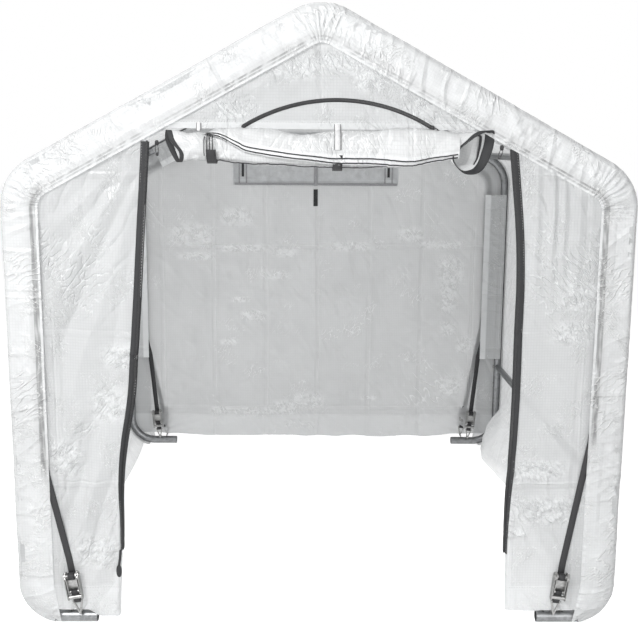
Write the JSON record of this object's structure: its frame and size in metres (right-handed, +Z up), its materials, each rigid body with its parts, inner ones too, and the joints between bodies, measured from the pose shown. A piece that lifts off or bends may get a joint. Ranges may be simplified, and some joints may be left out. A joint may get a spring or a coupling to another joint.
{
  "type": "polytunnel greenhouse",
  "caption": "Walk-in greenhouse: bent-tube ribs and rails under a ratchet-strapped translucent film cover, with a zipped roll-up front door and a rear vent window.",
  "frame": {"origin": "centre of the footprint, on the floor", "axes": "+Z up, the doorway faces -Y, +X to the right of someone facing the doorway"},
  "size_m": [1.8336, 1.8997, 1.8498],
  "materials": {
    "rib_tube": "galvanised",
    "rail_tube": "galvanised",
    "cover_film": "translucent ripstop film",
    "panel_film": "translucent ripstop film",
    "zip_tape": "woven tape with plastic teeth",
    "screen_mesh": "insect mesh",
    "webbing": "woven polyester",
    "zinc_steel": "zinc plated",
    "handle_steel": "zinc plated"
  },
  "bodies": {
    "root": {"front_left_foot": "rib_tube", "front_right_foot": "rib_tube", "rear_left_foot": "rib_tube", "rear_right_foot": "rib_tube", "front_left_leg": "rib_tube", "front_right_leg": "rib_tube", "rear_left_leg": "rib_tube", "rear_right_leg": "rib_tube", "front_left_rafter": "rib_tube", "front_right_rafter": "rib_tube", "rear_left_rafter": "rib_tube", "rear_right_rafter": "rib_tube", "front_peak": "rib_tube", "rear_peak": "rib_tube", "ridge_rail": "rail_tube", "left_eave_rail": "rail_tube", "right_eave_rail": "rail_tube", "left_side_rail": "rail_tube", "right_side_rail": "rail_tube", "left_wall_cover": "cover_film", "left_roof_cover": "cover_film", "right_roof_cover": "cover_film", "right_wall_cover": "cover_film", "front_cover_band": "cover_film", "rear_cover_band": "cover_film", "front_left_flap": "panel_film", "front_right_flap": "panel_film", "front_gable": "panel_film", "rolled_door": "panel_film", "front_panel_returns": "panel_film", "rear_panel": "panel_film", "rear_window_flap": "panel_film", "rear_panel_returns": "panel_film", "left_door_zip": "zip_tape", "right_door_zip": "zip_tape", "half_moon_zip": "zip_tape", "rear_window_screen": "screen_mesh", "cover_straps": "webbing", "panel_straps": "webbing", "strap_hooks": "zinc_steel", "ratchet_frames": "zinc_steel", "ratchet_spools": "zinc_steel", "ratchet_handles": "handle_steel"}
  },
  "joints": []
}
